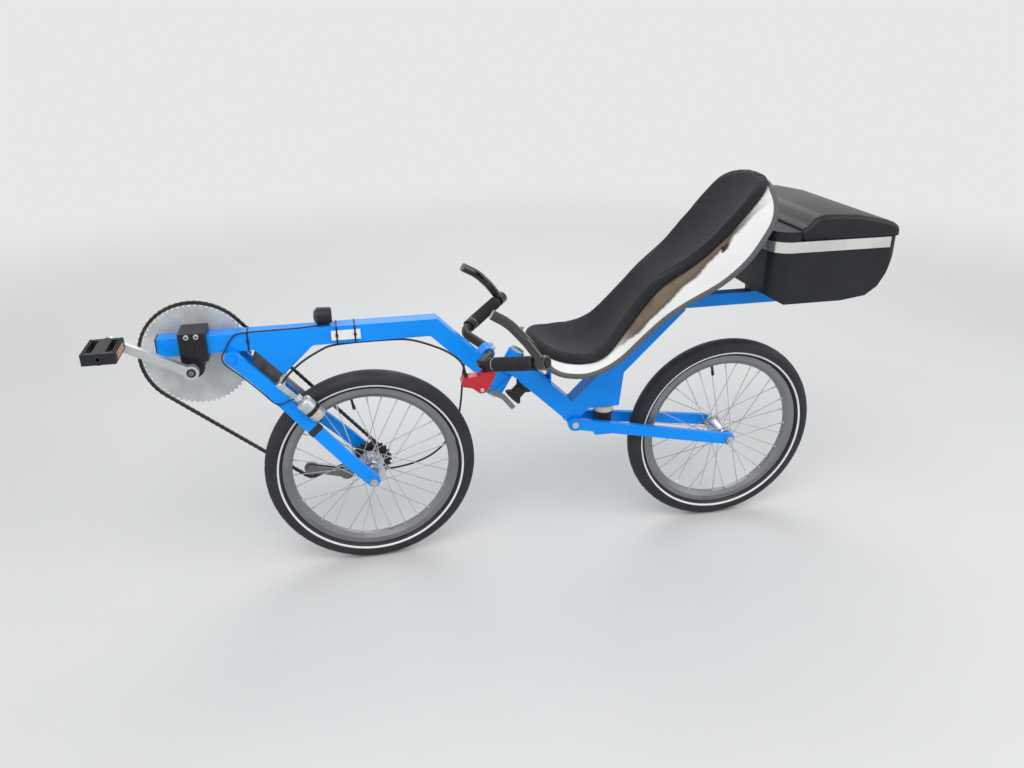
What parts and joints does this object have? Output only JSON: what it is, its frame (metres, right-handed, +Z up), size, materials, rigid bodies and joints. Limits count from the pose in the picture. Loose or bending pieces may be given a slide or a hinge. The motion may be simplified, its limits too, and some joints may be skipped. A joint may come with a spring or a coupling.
{
  "type": "recumbent bicycle",
  "caption": "Recumbent bicycle pivoted in the middle: a blue boom with cranks and driven front wheel, a dished seat, a rear wheel on a swing arm and a lidded case.",
  "frame": {"origin": "on the seat pad's surface at its lowest point, in the middle plane, where the rider sits", "axes": "+X to the rear, +Z up, -Y to the rider's left"},
  "size_m": [1.7586, 0.4918, 0.9107],
  "materials": {
    "frame_blue": "satin paint",
    "tyre_black": "rubber with a reflective line",
    "rim_silver": "brushed",
    "hub_silver": "polished, steel spokes",
    "steel_dark": "oiled",
    "steel_bright": "zinc plated",
    "alloy_grey": "dull",
    "alloy_black": "black anodised",
    "rubber_black": "matt",
    "plastic_black": "moulded, fine grain",
    "pad_cream": "plain",
    "shell_white": "white inside, grey edge",
    "foam_black": "closed foam with a woven face",
    "band_silver": "bright strip",
    "strip_white": "plain, reflecting",
    "lever_red": "red anodised"
  },
  "bodies": {
    "rear": {"rear_frame": "frame_blue", "rear_swing_arm": "frame_blue", "rear_swing_pivot": "steel_bright", "rear_elastomer": "rubber_black", "elastomer_pad": "pad_cream", "rear_axle": "steel_bright", "seat_shell": "shell_white", "seat_pad": "foam_black", "seat_front_bracket": "frame_blue", "seat_rear_bracket": "frame_blue", "topcase_base": "plastic_black", "topcase_band": "band_silver", "carrier_plate": "steel_dark", "steering_pin": "steel_bright", "steering_buffer": "rubber_black"},
    "case_lid": {"topcase_lid": "plastic_black"},
    "rear_wheel": {"rear_tyre": "tyre_black", "rear_rim": "rim_silver", "rear_hub": "hub_silver"},
    "front": {"front_frame": "frame_blue", "boom_plug": "plastic_black", "bottom_bracket_clamp": "alloy_black", "clamp_bolts": "steel_bright", "front_swing_arm": "frame_blue", "front_swing_pivot": "steel_bright", "front_elastomer": "rubber_black", "front_axle": "steel_bright", "handlebar": "alloy_black", "handlebar_clamp": "frame_blue", "left_grip": "rubber_black", "right_grip": "rubber_black", "left_bar_end": "alloy_black", "right_bar_end": "alloy_black", "brake_lever": "lever_red", "brake_caliper": "alloy_grey", "dynamo": "alloy_grey", "headlamp": "plastic_black", "derailleur": "steel_dark", "chain": "steel_dark", "lever_blade": "alloy_grey", "shifters": "plastic_black", "boom_strip": "strip_white", "brake_cable": "rubber_black", "shift_cable": "rubber_black"},
    "front_wheel": {"front_tyre": "tyre_black", "front_rim": "rim_silver", "front_hub": "hub_silver", "cassette": "steel_dark"},
    "crankset": {"chainring": "alloy_grey", "crank_spindle": "steel_bright", "left_crank": "alloy_grey", "right_crank": "alloy_grey"},
    "pedal_left": {"left_pedal": "plastic_black"},
    "pedal_right": {"right_pedal": "plastic_black"}
  },
  "joints": [
    {"name": "steering", "type": "hinge", "parent": "rear", "child": "front", "pos_m": [-0.163, 0, -0.087], "axis": [0.5, 0, 0.866], "range_deg": [-30, 30], "stiffness_Nm_per_rad": 60},
    {"name": "front_wheel_spin", "type": "hinge", "parent": "front", "child": "front_wheel", "pos_m": [-0.48, 0, -0.28], "axis": [0, -1, 0], "continuous": true},
    {"name": "rear_wheel_spin", "type": "hinge", "parent": "rear", "child": "rear_wheel", "pos_m": [0.42, 0, -0.28], "axis": [0, -1, 0], "continuous": true},
    {"name": "crank_spin", "type": "hinge", "parent": "front", "child": "crankset", "pos_m": [-0.842, 0, 0.024], "axis": [0, -1, 0], "continuous": true},
    {"name": "left_pedal_spin", "type": "hinge", "parent": "crankset", "child": "pedal_left", "pos_m": [-0.99111, 0, 0.10564], "axis": [0, -1, 0], "continuous": true},
    {"name": "right_pedal_spin", "type": "hinge", "parent": "crankset", "child": "pedal_right", "pos_m": [-0.69288, 0, -0.05764], "axis": [0, -1, 0], "continuous": true},
    {"name": "case_lid_hinge", "type": "hinge", "parent": "rear", "child": "case_lid", "pos_m": [0.728, 0, 0.251], "axis": [0, 1, 0], "range_deg": [0, 75]}
  ]
}
